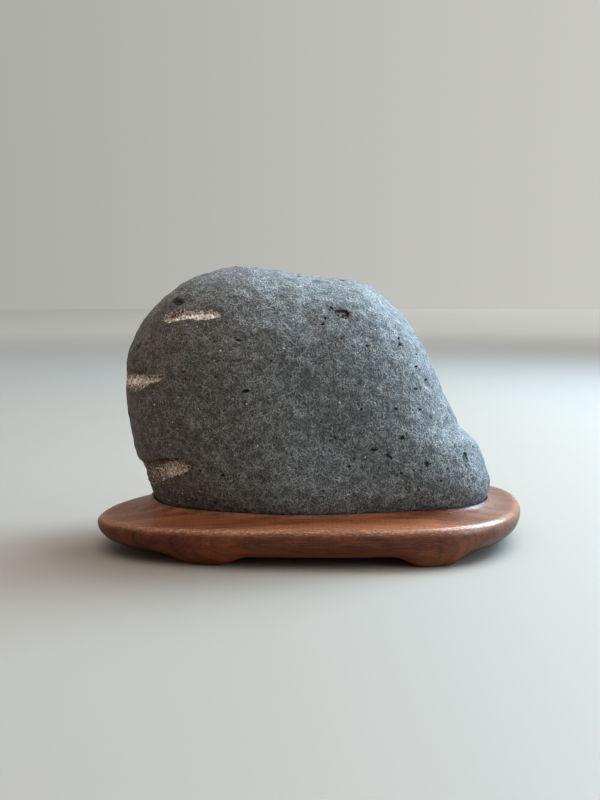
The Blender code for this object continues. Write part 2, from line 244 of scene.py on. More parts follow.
# ------------ node tools
class Nodes:
    """Short ways to add nodes to a tree."""

    def __init__(self, tree):
        self.tree = tree

    def new(self, kind, sockets=None, **settings):
        node = self.tree.nodes.new("ShaderNode" + kind)
        for name, value in settings.items():
            setattr(node, name, value)
        for socket, value in (sockets or {}).items():
            self.put(node, socket, value)
        return node

    def put(self, node, socket, value):
        if isinstance(value, bpy.types.NodeSocket):
            self.tree.links.new(value, node.inputs[socket])
        elif value is not None:
            node.inputs[socket].default_value = value

    def math(self, operation, a, b=None, clamp=False):
        return self.new("Math", {0: a, 1: b}, operation=operation,
                        use_clamp=clamp).outputs[0]

    def add(self, a, b):
        return self.math("ADD", a, b)

    def sub(self, a, b):
        return self.math("SUBTRACT", a, b)

    def mul(self, a, b):
        return self.math("MULTIPLY", a, b)

    def larger(self, a, b):
        return self.math("MAXIMUM", a, b)

    def absolute(self, a):
        return self.math("ABSOLUTE", a)

    def weighted(self, *rows):
        """The sum of the sockets, each times its own number."""
        total = self.mul(*rows[0])
        for row in rows[1:]:
            total = self.add(total, self.mul(*row))
        return total

    def vector(self, operation, a, b=None, out=0):
        return self.new("VectorMath", {0: a, 1: b}, operation=operation).outputs[out]

    def scaled(self, vec, scale):
        return self.vector("MULTIPLY", vec, scale)

    def turned(self, vec, axis, angle):
        return self.new("VectorRotate", {"Vector": vec, "Angle": angle},
                        rotation_type=axis + "_AXIS").outputs[0]

    def axis(self, vec, index):
        return self.new("SeparateXYZ", {0: vec}).outputs[index]

    def noise(self, vec, scale=1.0, detail=2.0, rough=0.5, out="Fac"):
        return self.new("TexNoise", {"Vector": vec, "Scale": scale, "Detail": detail,
                                     "Roughness": rough}).outputs[out]

    def cells(self, vec, scale=1.0, feature="F1"):
        return self.new("TexVoronoi", {"Vector": vec, "Scale": scale}, feature=feature)

    def net(self, vec, scale):
        """Distance to the nearest edge between cells."""
        return self.cells(vec, scale, "DISTANCE_TO_EDGE").outputs["Distance"]

    def chosen(self, cells, share):
        """One in a share of the cells, and zero in the others."""
        return self.math("LESS_THAN", self.axis(cells.outputs["Color"], 0), share)

    def waver(self, colour, amount):
        """A colour's offset from mid grey, times amount."""
        moved = self.vector("SCALE", self.vector("SUBTRACT", colour, (0.5, 0.5, 0.5)))
        self.put(moved.node, "Scale", amount)
        return moved

    def jitter(self, vec, scale, amount):
        """Push the coordinates about by up to amount, with noise of the given scale."""
        moved = self.waver(self.noise(vec, scale, 1.0, out="Color"), amount)
        return self.vector("ADD", vec, moved)

    def fit(self, value, a, b, c=0.0, d=1.0, smooth=True):
        """Map value from a..b to c..d, held at the ends."""
        kind = "SMOOTHSTEP" if smooth else "LINEAR"
        return self.new("MapRange", {0: value, 1: a, 2: b, 3: c, 4: d},
                        interpolation_type=kind).outputs[0]

    def mix(self, share, a, b, blend="MIX"):
        a, b = ((*c, 1.0) if isinstance(c, tuple) else c for c in (a, b))
        return self.new("Mix", {0: share, 6: a, 7: b}, data_type="RGBA",
                        blend_type=blend).outputs[2]

    def layers(self, body, *rows):
        """Lay colours over body: value, low, high, share of colour at high, colour."""
        for value, low, high, most, colour in rows:
            body = self.mix(self.fit(value, low, high, 0.0, most), body, colour)
        return body

    def tinted(self, body, *rows):
        """Multiply body by colours: share, colour."""
        for share, colour in rows:
            body = self.mix(share, body, colour, "MULTIPLY")
        return body

    def ramp(self, value, stops):
        node = self.new("ValToRGB", {0: value})
        marks = node.color_ramp.elements
        while len(marks) < len(stops):
            marks.new(0.5)
        for mark, (at, colour) in zip(marks, stops):
            mark.position = at
            mark.color = (*colour, 1.0)
        return node.outputs[0]

    def attribute(self, name):
        return self.new("Attribute", attribute_name=name).outputs["Fac"]


class Shader(Nodes):
    """A material's nodes, with its object coordinates in millimetres as place."""

    def __init__(self, name):
        self.mat = bpy.data.materials.new(name)
        self.mat.use_nodes = True
        super().__init__(self.mat.node_tree)
        self.surface = self.tree.nodes["Principled BSDF"]
        coords = self.new("TexCoord").outputs["Object"]
        self.place = self.scaled(coords, (1000.0, 1000.0, 1000.0))

    def finish(self, colour, roughness, height, **fixed):
        """Close the material; height is its relief in millimetres."""
        bump = self.new("Bump", {"Strength": 1.0, "Distance": MM, "Height": height})
        fixed.update(Base_Color=colour, Roughness=roughness, Normal=bump.outputs[0])
        for name, value in fixed.items():
            self.put(self.surface, name.replace("_", " "), value)
        return self.mat


# ------------ basalt
BASALT_DARK = (0.034, 0.0335, 0.0325)
BASALT_GREY = (0.106, 0.104, 0.1)
LINE_GREY = (0.33, 0.328, 0.315)
SCRATCH_GREY = (0.33, 0.33, 0.32)
HOLE_SHADE = (0.008, 0.008, 0.008)
CHIP_SHADE = (0.016, 0.012, 0.008)
PIT_SHADE = (0.006, 0.0062, 0.005)
CRUMB_OLIVE = (0.23, 0.205, 0.15)
WARM_BOUNCE_TINT = (0.78, 0.6, 0.5)
STAIN_TINT = (0.72, 0.6, 0.46)
RUST = [(0.36, (0.024, 0.016, 0.01)), (0.46, (0.145, 0.092, 0.058)),
        (0.55, (0.34, 0.232, 0.155)), (0.65, (0.62, 0.48, 0.375))]
CREAM = [(0.38, (0.07, 0.042, 0.028)), (0.46, (0.42, 0.3, 0.23)),
         (0.53, (0.86, 0.71, 0.62)), (0.64, (0.975, 0.9, 0.845))]
FELDSPAR = [(0.0, (0.045, 0.028, 0.018)), (0.16, (0.16, 0.105, 0.068)),
            (0.32, (0.42, 0.29, 0.195)), (0.52, (0.74, 0.58, 0.47)),
            (0.84, (0.97, 0.9, 0.84))]


def basalt_lines(s, p):
    """Thin pale worm-like lines in a loose net, and the net's own edge distance."""
    net = s.net(s.jitter(p, 0.45, 2.0), 0.42)
    fine = s.net(s.jitter(p, 0.9, 1.0), 0.78)
    worm = s.absolute(s.sub(s.noise(s.jitter(p, 0.8, 0.8), 0.52, 1.0), 0.5))
    patch = s.noise(p, 0.21, 3.0, 0.6)
    other = s.noise(s.vector("ADD", p, (50.0, 9.0, 4.0)), 0.3, 2.0, 0.6)
    lines = s.mul(s.fit(net, 0.015, 0.13, 1.0, 0.0), s.fit(patch, 0.4, 0.62))
    lines = s.larger(lines, s.mul(s.fit(fine, 0.01, 0.14, 1.0, 0.0),
                                  s.fit(other, 0.42, 0.6, 0.12, 0.8)))
    lines = s.larger(lines, s.mul(s.fit(worm, 0.012, 0.055, 1.0, 0.0),
                                  s.fit(patch, 0.6, 0.42, 0.0, 0.85)))
    return lines, net


def scratch_mask(s, p):
    """A faint pale scratch on the upper front."""
    q = s.vector("SUBTRACT", s.jitter(p, 0.6, 0.7), SCRATCH_PLACE)
    q = s.turned(q, "Y", SCRATCH_TURN)
    along = s.fit(s.absolute(s.axis(q, 0)), 3.6, 2.2)
    across = s.fit(s.absolute(s.axis(q, 2)), 0.5, 0.15)
    return s.mul(s.mul(along, across), s.fit(s.axis(p, 1), -10.0, -20.0))


def vesicle_mask(s, p, x):
    """Open vesicles and pores, commoner low down on the right."""
    z = s.axis(p, 2)
    crowd = s.mul(s.fit(x, -30.0, 45.0, 0.35, 1.0), s.fit(z, 112.0, 50.0, 0.4, 1.0))
    holes = s.cells(s.jitter(p, 0.7, 0.6), 0.27)
    size = s.fit(s.axis(holes.outputs["Color"], 1), 0.0, 1.0, 0.07, 0.17, smooth=False)
    inside = s.fit(s.sub(size, holes.outputs["Distance"]), 0.0, 0.035)
    hole = s.mul(inside, s.chosen(holes, s.mul(crowd, 0.3)))
    pores = s.cells(p, 0.8)
    pore = s.mul(s.fit(pores.outputs["Distance"], 0.3, 0.18),
                 s.chosen(pores, s.mul(crowd, 0.36)))
    return s.larger(hole, s.mul(pore, 0.9))


def chip_colour(s, p, body, cloud, rag):
    """Rusty floor, cream crust and painted shade in the chips, and stained ground round
    them.
    """
    ragged = s.add(s.attribute("chip"), s.mul(rag, 0.9))
    chip = s.fit(ragged, -0.1, 0.25)
    sparkle = s.noise(s.jitter(p, 1.2, 0.5), 1.0, 3.0, 0.65)
    glow = s.add(s.attribute("pale"), s.mul(s.sub(sparkle, 0.5), 2.8))
    crust = s.mix(s.fit(glow, 0.25, 0.6), s.ramp(sparkle, RUST), s.ramp(sparkle, CREAM))
    # painted shade: the crust darkens under each chip's upper edge
    crust = s.mix(s.mul(s.attribute("shade"), 0.8), crust, CHIP_SHADE)
    stain = s.mul(s.fit(ragged, -5.0, 0.0), s.fit(cloud, 0.25, 0.65, 0.25, 1.0))
    body = s.tinted(body, (s.mul(stain, 0.6), STAIN_TINT))
    return s.mix(chip, body, crust), chip


def pit_colour(s, p, body, rag):
    """Painted shade on the walls of the dark hollows, slits and vesicles, olive and grey
    crumbs on the floor.
    """
    field = s.attribute("pit")
    crumbs = s.mul(s.fit(field, 1.02, 1.28), s.fit(s.noise(p, 1.15), 0.48, 0.57))
    pit = s.fit(s.add(field, s.mul(rag, 0.3)), 0.42, 0.75)
    return s.mix(pit, body, s.mix(crumbs, PIT_SHADE, CRUMB_OLIVE))


def basalt_material():
    """Charcoal ground with pale lines and specks, painted warmer and darker towards the
    chipped end.
    """
    s = Shader("basalt_stone")
    p = s.place
    x = s.axis(p, 0)
    lines, net = basalt_lines(s, p)
    grain = s.noise(p, 2.3, 3.0, 0.65)
    speckle = s.noise(s.jitter(p, 0.9, 0.5), 1.15, 2.0, 0.6)
    mottle = s.noise(p, 0.5, 3.0, 0.6)
    cloud = s.noise(p, 0.04)
    blotch = s.noise(s.vector("ADD", p, (7.0, 80.0, 30.0)), 0.23, 2.0, 0.6)
    lines = s.mul(lines, s.fit(speckle, 0.34, 0.56, 0.45, 1.0))
    body = s.mix(s.fit(mottle, 0.38, 0.62), BASALT_DARK, BASALT_GREY)
    body = s.mix(s.mul(lines, s.fit(grain, 0.2, 0.6, 0.5, 0.95)), body, LINE_GREY)
    body = s.layers(body, (speckle, 0.44, 0.34, 0.42, (0.019, 0.0185, 0.0175)),
                    (speckle, 0.58, 0.7, 0.3, (0.285, 0.282, 0.271)),
                    (grain, 0.49, 0.32, 0.72, (0.015, 0.015, 0.0145)),
                    (grain, 0.58, 0.72, 0.7, (0.345, 0.342, 0.33)),
                    (blotch, 0.56, 0.38, 0.48, (0.03, 0.0295, 0.028)))
    # painted warm reflected light and shade: the ground is multiplied browner and darker
    # towards the left end
    brown = s.mul(s.fit(x, 0.0, -80.0), s.fit(cloud, 0.3, 0.6, 0.6, 1.0))
    body = s.tinted(body, (s.mul(brown, 0.9), WARM_BOUNCE_TINT))
    body = s.mix(s.mul(scratch_mask(s, p), 0.5), body, SCRATCH_GREY)
    # painted shade: the insides of open vesicles and pores are painted near black
    hole = vesicle_mask(s, p, x)
    body = s.mix(s.mul(hole, 0.92), body, HOLE_SHADE)
    rag = s.sub(s.noise(p, 1.1, 3.0, 0.6), 0.5)
    body, chip = chip_colour(s, p, body, cloud, rag)
    body = pit_colour(s, p, body, rag)

    crust = s.mul(s.noise(p, 1.4, 2.0, 0.6), chip)
    height = s.weighted((lines, 0.13), (s.fit(net, 0.0, 0.45), -0.1), (grain, 0.22),
                        (mottle, 0.42), (hole, -0.6), (crust, 0.5))
    gloss = s.mul(s.fit(grain, 0.58, 0.74), 0.28)
    rough = s.math("SUBTRACT", s.fit(mottle, 0.3, 0.7, 0.6, 0.78), gloss, clamp=True)
    return s.finish(body, rough, height, Specular_IOR_Level=0.42)


def crystal_material():
    """Pinkish white feldspar, rusty and brown where it is dull."""
    s = Shader("chip_crystals")
    grain = s.noise(s.place, 1.6, 2.0, 0.6)
    tone = s.add(s.attribute("tone"), s.mul(s.sub(grain, 0.5), 0.3))
    return s.finish(s.ramp(tone, FELDSPAR), s.fit(grain, 0.3, 0.7, 0.24, 0.42),
                    s.mul(s.noise(s.place, 4.0), 0.05), Specular_IOR_Level=0.5)


# ------------ walnut
# The middle of the growth rings, in front of the stand (mm), and their turn.
WALNUT_HEART = (0.0, -150.0, -6.0)
WALNUT_TURN = math.radians(3.0)
RINGS_PER_MM = 0.36
WALNUT_RED = (0.345, 0.102, 0.037)
WALNUT_BROWN = (0.155, 0.039, 0.014)
LATE_WOOD = (0.048, 0.0125, 0.0055)
PORE_BROWN = (0.022, 0.008, 0.004)
PAINTED_RIDGE_HIGHLIGHT = (0.4, 0.165, 0.08)
PAINTED_PORE_GLINT = (0.62, 0.33, 0.19)
EDGE_DARK = (0.09, 0.028, 0.013)
SEAT_SHADE = (0.035, 0.011, 0.006)


def walnut_rings(s, p):
    """Near-flat growth rings along the stand: place from the heart, and late wood."""
    slow = s.noise(s.scaled(p, (0.01, 0.03, 0.03)), out="Color")
    q = s.vector("SUBTRACT", s.vector("ADD", p, s.waver(slow, 26.0)), WALNUT_HEART)
    flat = s.scaled(s.turned(q, "Z", WALNUT_TURN), (0.0, 1.0, 1.0))
    fine = s.noise(s.scaled(p, (0.02, 0.16, 0.16)), 1.0, 3.0)
    ring = s.weighted((s.vector("LENGTH", flat, out=1), RINGS_PER_MM), (fine, 0.9))
    part = s.math("FRACT", ring)
    white = s.new("TexWhiteNoise", {"W": s.math("FLOOR", ring)}, noise_dimensions="1D")
    late = s.mul(s.fit(part, 0.4, 0.95), s.fit(part, 1.0, 0.94))
    return q, s.mul(late, s.fit(white.outputs["Value"], 0.0, 1.0, 0.2, 1.0, smooth=False))


def walnut_material():
    s = Shader("walnut_stand")
    p = s.place
    x = s.axis(p, 0)
    q, late = walnut_rings(s, p)
    streak = s.noise(s.scaled(p, (0.012, 0.16, 0.16)), 1.0, 3.0, 0.55)
    fibre = s.noise(s.scaled(p, (0.07, 2.2, 2.2)), 1.0, 3.0, 0.6)
    sheet = s.noise(s.scaled(q, (0.008, 0.36, 0.05)), 1.0, 2.0, 0.55)
    tone = s.mix(s.fit(streak, 0.34, 0.66), WALNUT_RED, WALNUT_BROWN)
    tone = s.layers(tone, (sheet, 0.5, 0.64, 0.7, (0.06, 0.016, 0.007)))
    tone = s.mix(s.mul(late, 0.8), tone, LATE_WOOD)
    tone = s.layers(tone, (fibre, 0.35, 0.72, 0.36, (0.44, 0.16, 0.066)),
                    (fibre, 0.48, 0.25, 0.4, (0.045, 0.014, 0.007)))

    # Open pores: short dark dashes along the grain.
    dashes = s.cells(s.scaled(s.jitter(p, 0.2, 0.6), (0.5, 2.6, 2.6)))
    dash = s.mul(s.fit(dashes.outputs["Distance"], 0.4, 0.22), s.chosen(dashes, 0.5))
    tone = s.mix(s.mul(dash, 0.6), tone, PORE_BROWN)

    # Painted light and shade on the right end, nose, sides, rim and ground by the stone.
    # painted sheen and shade: the right end is multiplied darker, greyer and bluer, for
    # the window's sheen there
    tone = s.tinted(tone, (s.fit(x, 25.0, 85.0), (0.62, 0.68, 0.78)),
                    # painted shade: the nose is multiplied darker, away from the window
                    (s.fit(x, -45.0, -85.0), (0.74, 0.7, 0.64)),
                    # painted shade: the sides below the ridge are multiplied darker than
                    # the top
                    (s.attribute("flank"), (0.66, 0.52, 0.42)))
    edge = s.attribute("edge")
    fleck = s.noise(s.scaled(p, (0.7, 2.4, 2.4)), 1.0, 2.0, 0.6)
    # painted highlight: the rim is laid paler, pale flecks are painted glints, dark
    # flecks are its pores
    for share, colour in ((s.mul(edge, 0.3), PAINTED_RIDGE_HIGHLIGHT),
                          (s.mul(edge, s.fit(fleck, 0.52, 0.66, 0.0, 0.6)), PAINTED_PORE_GLINT),
                          (s.mul(edge, s.fit(fleck, 0.46, 0.34, 0.0, 0.6)), EDGE_DARK),
                          # painted shade on the ground by the stone and in the seat
                          (s.mul(s.attribute("low"), 0.6), SEAT_SHADE)):
        tone = s.mix(share, tone, colour)

    scuff = s.noise(p, 0.06, 3.0, 0.6)
    height = s.weighted((dash, -0.1), (fibre, 0.045), (late, 0.012), (scuff, 0.25))
    rough = s.sub(s.fit(scuff, 0.3, 0.7, 0.37, 0.46),
                  s.mul(edge, s.fit(x, 15.0, 60.0, 0.1, 0.23)))
    rough = s.add(rough, s.mul(dash, 0.25))
    rough = s.add(rough, s.mul(s.fit(fibre, 0.3, 0.7), 0.06))
    return s.finish(tone, rough, height, Specular_IOR_Level=0.27, Coat_Weight=0.06,
                    Coat_Roughness=0.2)


# ------------ stone shape
def polar_outline():
    """The front outline as angle and radius about the stone's centre."""
    rows = []
    for x, z in STONE_OUTLINE:
        dx = x - STONE_CENTRE[0]
        dz = z - STONE_CENTRE[2]
        rows.append((math.atan2(dz, dx) % (2.0 * math.pi), math.hypot(dx, dz)))
    rows.sort()
    return np.array([r[0] for r in rows]), np.array([r[1] for r in rows])


OUTLINE_ANGLES, OUTLINE_RADII = polar_outline()


def outline_radius(angle):
    """Smooth closed curve through the outline's points."""
    turn = 2.0 * math.pi
    a, r = OUTLINE_ANGLES, OUTLINE_RADII
    knots = np.concatenate((a[-2:] - turn, a, a[:2] + turn))
    values = np.concatenate((r[-2:], r, r[:2]))
    angle = np.mod(angle, turn)
    k = np.clip(np.searchsorted(knots, angle, side="right") - 1, 1, len(knots) - 3)
    h = knots[k + 1] - knots[k]
    slope = (values[k + 1] - values[k]) / h
    before = (values[k] - values[k - 1]) / (knots[k] - knots[k - 1])
    after = (values[k + 2] - values[k + 1]) / (knots[k + 2] - knots[k + 1])
    m0 = 0.5 * (before + slope)
    m1 = 0.5 * (slope + after)
    t = (angle - knots[k]) / h
    return ((1 + 2 * t) * (1 - t) ** 2 * values[k] + t * (1 - t) ** 2 * h * m0
            + t * t * (3 - 2 * t) * values[k + 1] + t * t * (t - 1) * h * m1)


def undulation(u):
    """Slow unevenness of the hidden faces, as a share of the stone's radius."""
    x, y, z = u[:, 0], u[:, 1], u[:, 2]
    away = smooth_step(z, -0.75, -0.35)
    waves = 0.01 * np.sin(4.1 * x + 2.0 * z + 0.6) * np.cos(3.3 * y - 1.7 * z)
    waves += 0.006 * np.sin(7.3 * x - 5.1 * y + 1.1) * np.sin(6.1 * z + 0.4)
    waves += 0.004 * np.cos(9.7 * y + 6.2 * z + 2.0 * x)
    return waves * np.abs(y) * away


def knob(u):
    """How far the low right end stands out beyond the outline."""
    below = np.degrees(np.arctan2(-u[:, 2], u[:, 0]))
    rise = smooth_step(below, *KNOB_START)
    fade = 1.0 - smooth_step(below, *KNOB_END)
    return KNOB_HEIGHT * rise * fade * np.exp(-(u[:, 1] / KNOB_SPREAD) ** 2)


def stone_surface(u):
    """The stone's surface along unit directions u, before its fine relief."""
    radius = outline_radius(np.arctan2(u[:, 2], u[:, 0]))
    flat = np.hypot(u[:, 0], u[:, 2])
    down = np.clip(-u[:, 2] / np.maximum(flat, 1e-9), 0.0, 1.0)
    power = SIDE_POWER + BASE_POWER * down ** 6
    a = flat / radius
    b = np.abs(u[:, 1]) / np.where(u[:, 1] < 0.0, STONE_FRONT, STONE_BACK)
    low = np.zeros(len(u))
    high = 1.0 / np.maximum(a, b)
    for _ in range(44):
        mid = 0.5 * (low + high)
        inside = (mid * a) ** power + (mid * b) ** DEPTH_POWER < 1.0
        low = np.where(inside, mid, low)
        high = np.where(inside, high, mid)
    reach = low * (1.0 + undulation(u)) + knob(u)
    return STONE_CENTRE + u * reach[:, None]


def stretched(raw):
    """Unit directions spread evenly over a body of the stone's proportions."""
    return unit(raw * np.array([0.084, 0.048, 0.058]))


def cube_grid(cells):
    """A cube gridded on six faces, with shared edges counted once."""
    marks = np.tan(math.pi / 4 * np.linspace(-1.0, 1.0, cells + 1))
    index = {}
    points = []
    faces = []
    for axis in range(3):
        for side in (0, cells):
            grid = np.zeros((cells + 1, cells + 1), dtype=int)
            for i in range(cells + 1):
                for j in range(cells + 1):
                    key = [0, 0, 0]
                    key[axis] = side
                    key[(axis + 1) % 3] = i
                    key[(axis + 2) % 3] = j
                    key = tuple(key)
                    if key not in index:
                        index[key] = len(points)
                        points.append([marks[k] for k in key])
                    grid[i, j] = index[key]
            for i in range(cells):
                for j in range(cells):
                    quad = (grid[i, j], grid[i + 1, j],
                            grid[i + 1, j + 1], grid[i, j + 1])
                    faces.append(quad if side else quad[::-1])
    return np.array(points), faces


def local_frame(mm, cx, cz, half_w, half_h, tilt):
    """Place along and across a tilted ellipse, in its half width and half height."""
    dx = mm[:, 0] - cx
    dz = mm[:, 2] - cz
    along = (dx * math.cos(tilt) + dz * math.sin(tilt)) / half_w
    across = (dz * math.cos(tilt) - dx * math.sin(tilt)) / half_h
    return along, across


def inside_distance(mm, outline):
    """Distance inside a closed outline seen from the front, negative outside it."""
    x, z = mm[:, 0], mm[:, 2]
    nearest = np.full(len(mm), 1e9)
    within = np.zeros(len(mm), dtype=bool)
    for k, (ax, az) in enumerate(outline):
        bx, bz = outline[(k + 1) % len(outline)]
        dx, dz = bx - ax, bz - az
        t = np.clip(((x - ax) * dx + (z - az) * dz) / (dx * dx + dz * dz), 0.0, 1.0)
        nearest = np.minimum(nearest, np.hypot(x - ax - t * dx, z - az - t * dz))
        if az != bz:
            crossing = (az > z) != (bz > z)
            within ^= crossing & (x < ax + (z - az) * dx / dz)
    return np.where(within, nearest, -nearest)


def chip_relief(mm):
    """Depth of the chips in mm, distance inside them, paleness, and upper-edge shade."""
    depth, pale, shade = np.zeros((3, len(mm)))
    field = np.full(len(mm), -9.0)
    shoulder = 0.06 + 0.94 * smooth_step(mm[:, 0], *CHIP_FADE)
    rag = value_noise(mm / 2.3, 11) * 0.45 + value_noise(mm / 1.1, 12) * 0.25
    crags = value_noise(mm / 1.5, 13) * 0.34 + value_noise(mm / 0.8, 14) * 0.24
    for outline, deep, back, line, glow, dark_from in CHIPS:
        front = smooth_step(back + 6.0 * rag - mm[:, 1], 0.0, 13.0)
        reach = inside_distance(mm, outline) + rag
        reach = np.where(front > 0.0, reach - CHIP_EDGE * (1.0 - front), -9.0)
        along, across = local_frame(mm, *line)
        # deepest under the upper edge, rising to nothing at the lower one
        floor = 0.2 + 0.8 * smooth_step(across, -1.0, 0.45)
        wall = smooth_step(reach, -0.1, 0.9)
        depth = np.maximum(depth, wall * (deep * floor + crags) * shoulder)
        # painted shade: dusk marks the band under each chip's upper edge that is painted
        # dark
        dusk = smooth_step(across, 0.48, 1.0) * smooth_step(reach, -0.6, 0.2)
        dusk = dusk * smooth_step(along, dark_from - 0.3, dark_from + 0.3)
        shade = np.maximum(shade, dusk)
        field = np.maximum(field, reach)
        a0, aw, c0, cw, most = glow
        shine = most * np.exp(-((along - a0) / aw) ** 2 - ((across - c0) / cw) ** 2)
        shine = shine * (0.15 + 0.85 * smooth_step(-mm[:, 1], -5.0, 12.0))
        pale = np.maximum(pale, np.where(reach > -0.5, shine, 0.0))
    return depth, field, pale, shade


def pit_relief(mm):
    """Depth of the dark hollows, slits and vesicles in mm, and how far inside one is."""
    depth, field = np.zeros((2, len(mm)))
    front = smooth_step(-6.0 - mm[:, 1], 0.0, 4.0)
    rag = value_noise(mm / 0.9, 15)

    def press(near, away, deep, share):
        fall = (1.0 - smooth_step(away, 0.35, 1.3)) * share
        depth[near] = np.maximum(depth[near], deep * fall)
        inside = np.clip(1.6 - away, 0.0, 1.0) * share
        field[near] = np.maximum(field[near], inside)

    for outline, deep, limit in DARK_HOLLOWS:
        reach = inside_distance(mm, outline) + rag * 0.22
        fall = smooth_step(reach, -0.15, 0.75) * front
        depth = np.maximum(depth, (deep - 0.25 + 0.45 * rag) * fall)
        field = np.maximum(field, np.clip(0.5 + reach, 0.0, limit) * front)
    rows = list(PITS)
    pick = np.random.default_rng(VESICLE_SEED)
    for x, z in VESICLES:
        wide = 0.42 + 0.3 * pick.random()
        tall = wide * (0.65 + 0.35 * pick.random())
        tilt = 1.2 * (pick.random() - 0.5)
        rows.append((x, z, wide, tall, tilt, 0.55 + 0.3 * pick.random()))
    for *place, wide, deep in ROUND_PITS:
        near = np.where(np.abs(mm - place).max(axis=1) < 2.5)[0]
        away = np.linalg.norm(mm[near] - place, axis=1) / wide
        press(near, away + 0.3 * rag[near], deep, 1.0)
    for cx, cz, half_w, half_h, tilt, deep in rows:
        near = np.where((np.abs(mm[:, 0] - cx) < 3.5) & (np.abs(mm[:, 2] - cz) < 3.5))[0]
        along, across = local_frame(mm[near], cx, cz, half_w, half_h, tilt)
        away = np.sqrt(along ** 2 + across ** 2) + 0.25 * rag[near]
        press(near, away, deep, front[near])
    return depth, field


def slow_relief(mm):
    """Weathered unevenness of the whole stone in mm, held down inside the seat."""
    relief = value_noise(mm / 19.0, 1) * 0.45 + value_noise(mm / 9.5, 2) * 0.36
    relief += value_noise(mm / 4.9, 3) * 0.3
    relief += value_noise(mm / 2.8, 8) * 0.16
    warped = mm + 1.6 * value_noise(mm / 4.0, 4)[:, None]
    first = cell_noise(warped / 5.2, 5)
    dents = value_noise(mm / 14.0, 7) * 0.5 + 0.5
    relief += -0.46 * dents * smooth_step(0.62 - first, 0.0, 0.5)
    relief += 0.1 * value_noise(mm / 1.9, 6)
    above = smooth_step(mm[:, 2], 18.5, 25.0)
    relief = relief * (0.2 + 0.8 * above)
    return np.where(mm[:, 2] < 24.0, np.minimum(relief, 0.12), relief)


def round_pits():
    """Seeded vesicles over the sides, top and back: place and half width, depth in mm."""
    pick = np.random.default_rng(ROUND_PIT_SEED)
    places = pick.normal(size=(ROUND_PIT_TRIES, 3))
    places = stone_surface(stretched(places)) * 1000.0
    places = places[(places[:, 1] > -14.0) & (places[:, 2] > 26.0)]
    return [(*p, 0.45 + 0.65 * pick.random() ** 2, 0.5 + 0.4 * pick.random())
            for p in places.tolist()]


ROUND_PITS = round_pits()


def refined_cube():
    """The cube grid, divided more finely where a chip, hollow or vesicle lies."""
    raw, faces = cube_grid(STONE_GRID)
    mm = stone_surface(stretched(raw)) * 1000.0
    field = chip_relief(mm)[1]
    pits = pit_relief(mm)[1]
    near = np.full(len(mm), -9.0)
    for x, z, *_ in PITS + VESICLES:
        away = np.hypot(mm[:, 0] - x, mm[:, 2] - z)
        near = np.where(mm[:, 1] < -6.0, np.maximum(near, 1.9 - away), near)
    for *place, _, _ in ROUND_PITS:
        near = np.maximum(near, 1.7 - np.linalg.norm(mm - place, axis=1))
    marked = (field > -1.6) | (pits > 0.0) | (near > 0.0)
    mesh = bmesh.new()
    points = [mesh.verts.new(p) for p in raw]
    for face in faces:
        mesh.faces.new([points[k] for k in face])
    mesh.verts.index_update()
    edges = [e for e in mesh.edges if all(marked[v.index] for v in e.verts)]
    bmesh.ops.subdivide_edges(mesh, edges=edges, cuts=FINE_CUTS, use_grid_fill=True)
    mesh.verts.index_update()
    raw = np.array([tuple(v.co) for v in mesh.verts])
    faces = [tuple(v.index for v in f.verts) for f in mesh.faces]
    mesh.free()
    return raw, faces


def make_stone():
    raw, faces = refined_cube()
    u = stretched(raw)
    points = stone_surface(u)
    mm = points * 1000.0
    chips, field, pale, shade = chip_relief(mm)
    pits, pit_field = pit_relief(mm)
    moved = slow_relief(mm) - np.maximum(chips, pits)
    points = points + u * (moved * MM)[:, None]
    item = mesh_object("basalt_stone_surface", points, faces, basalt_material(),
                       chip=field, pale=pale, shade=shade, pit=pit_field)
    return item, points, faces, field, pale, shade


def random_turns(pick, count):
    q = pick.normal(size=(count, 4))
    w, x, y, z = (q / np.linalg.norm(q, axis=1)[:, None]).T
    rows = [[1 - 2 * (y * y + z * z), 2 * (x * y - z * w), 2 * (x * z + y * w)],
            [2 * (x * y + z * w), 1 - 2 * (x * x + z * z), 2 * (y * z - x * w)],
            [2 * (x * z - y * w), 2 * (y * z + x * w), 1 - 2 * (x * x + y * y)]]
    return np.moveaxis(np.array(rows), 2, 0)


def crystal_places(points, faces, field, pale, shade, pick):
    """Seeded places on the chips' floors: point, outward direction, paleness less painted
    shade, size.
    """
    deep = [f for f in faces if len(f) >= 3 and min(field[k] for k in f) > 0.25]
    tri = np.array([(f[0], f[k], f[k + 1]) for f in deep for k in range(1, len(f) - 1)])
    a, b, c = points[tri[:, 0]], points[tri[:, 1]], points[tri[:, 2]]
    cross = np.cross(b - a, c - a)
    area = np.linalg.norm(cross, axis=1)
    count = int(area.sum() * 0.5 / (MM * MM) * CRYSTALS_PER_MM2)
    chosen = pick.choice(len(tri), size=count, p=area / area.sum())
    r = np.sqrt(pick.random(count))[:, None]
    t = pick.random(count)[:, None]
    where = (1 - r) * a[chosen] + r * (1 - t) * b[chosen] + r * t * c[chosen]
    # painted shade: crystals under a chip's upper edge are made darker
    glow = pale[tri[chosen, 0]] * (1.0 - 0.75 * shade[tri[chosen, 0]])
    out = outward(where)
    size = (0.28 + 0.52 * pick.random(count) ** 1.5) * (0.7 + 0.5 * glow)
    ahead = out[:, 1] < -0.2
    return where[ahead], out[ahead], glow[ahead], size[ahead]


def front_places(pairs):
    """Points on the stone's front at the given x, z in mm."""
    want = np.array(pairs) * MM
    y = np.full(len(want), -0.04)
    for _ in range(30):
        found = stone_surface(outward(np.column_stack([want[:, 0], y, want[:, 1]])))
        y = y + 0.6 * (found[:, 1] - y)
    return stone_surface(outward(np.column_stack([want[:, 0], y, want[:, 1]])))


